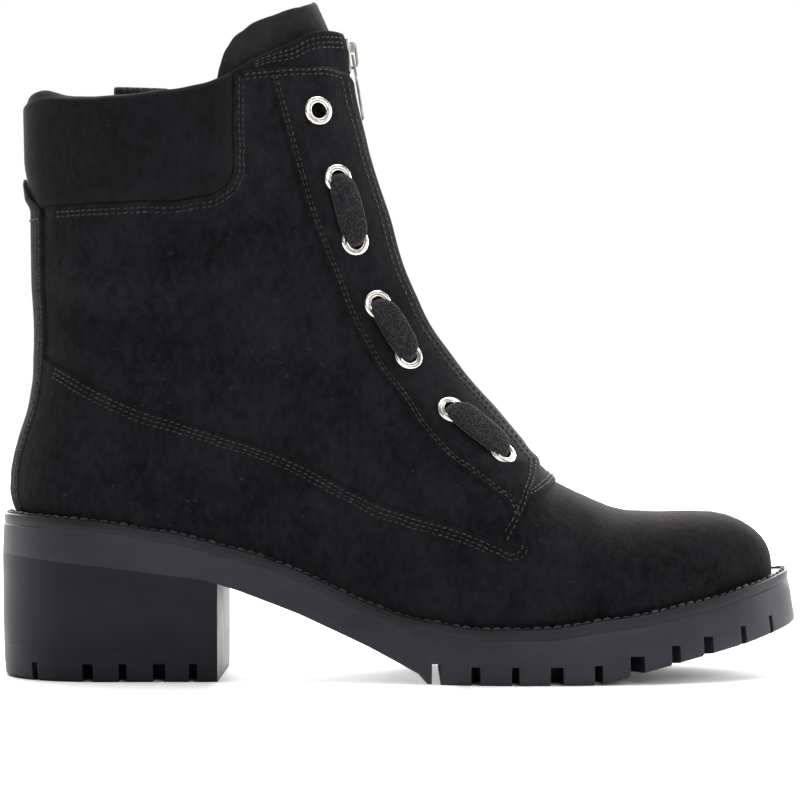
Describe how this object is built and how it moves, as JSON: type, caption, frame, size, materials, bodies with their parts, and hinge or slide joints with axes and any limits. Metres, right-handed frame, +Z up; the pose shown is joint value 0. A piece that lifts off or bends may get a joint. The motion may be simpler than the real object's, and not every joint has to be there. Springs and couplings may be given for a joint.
{
  "type": "zip ankle boot",
  "caption": "Right-foot ankle boot with a suede upper, padded collar, front zip, laced eyelet bars on both sides, and a lugged sole on a block heel.",
  "frame": {"origin": "middle of the boot's length and width, on the floor that it stands on", "axes": "+X to the toe, -Y to the lateral (outer) side, +Z up"},
  "size_m": [0.262, 0.094, 0.2192],
  "materials": {
    "suede": "black suede with a short matte nap",
    "padded suede": "black suede over foam padding",
    "sole rubber": "charcoal moulded rubber, satin",
    "welt rubber": "dark satin rubber welt",
    "lining": "black woven lining",
    "zip": "black zip tape and chain",
    "nickel": "polished nickel plate",
    "lace": "flat black knitted lace",
    "tape": "black woven tape"
  },
  "bodies": {
    "boot": {"outsole": "sole rubber", "heel": "sole rubber", "heel_lift": "sole rubber", "welt": "welt rubber", "insole": "lining", "upper": "suede", "collar": "padded suede", "backstay": "suede", "eyestay_lateral": "suede", "eyestay_medial": "suede", "throat_tab": "suede", "tongue": "suede", "zip": "zip", "zip_slider": "nickel", "pull_loop": "tape", "eyelet_lateral_1": "nickel", "eyelet_lateral_2": "nickel", "eyelet_lateral_3": "nickel", "eyelet_lateral_4": "nickel", "eyelet_lateral_5": "nickel", "eyelet_lateral_6": "nickel", "eyelet_lateral_7": "nickel", "lace_bar_lateral_1": "lace", "lace_bar_lateral_2": "lace", "lace_bar_lateral_3": "lace", "eyelet_medial_1": "nickel", "eyelet_medial_2": "nickel", "eyelet_medial_3": "nickel", "eyelet_medial_4": "nickel", "eyelet_medial_5": "nickel", "eyelet_medial_6": "nickel", "eyelet_medial_7": "nickel", "lace_bar_medial_1": "lace", "lace_bar_medial_2": "lace", "lace_bar_medial_3": "lace"},
    "pull": {"zip_pull": "nickel"}
  },
  "joints": [
    {"name": "pull_hinge", "type": "hinge", "parent": "boot", "child": "pull", "pos_m": [-0.01561, -0.00065, 0.20383], "axis": [0, -1, 0], "range_deg": [0, 155]}
  ]
}
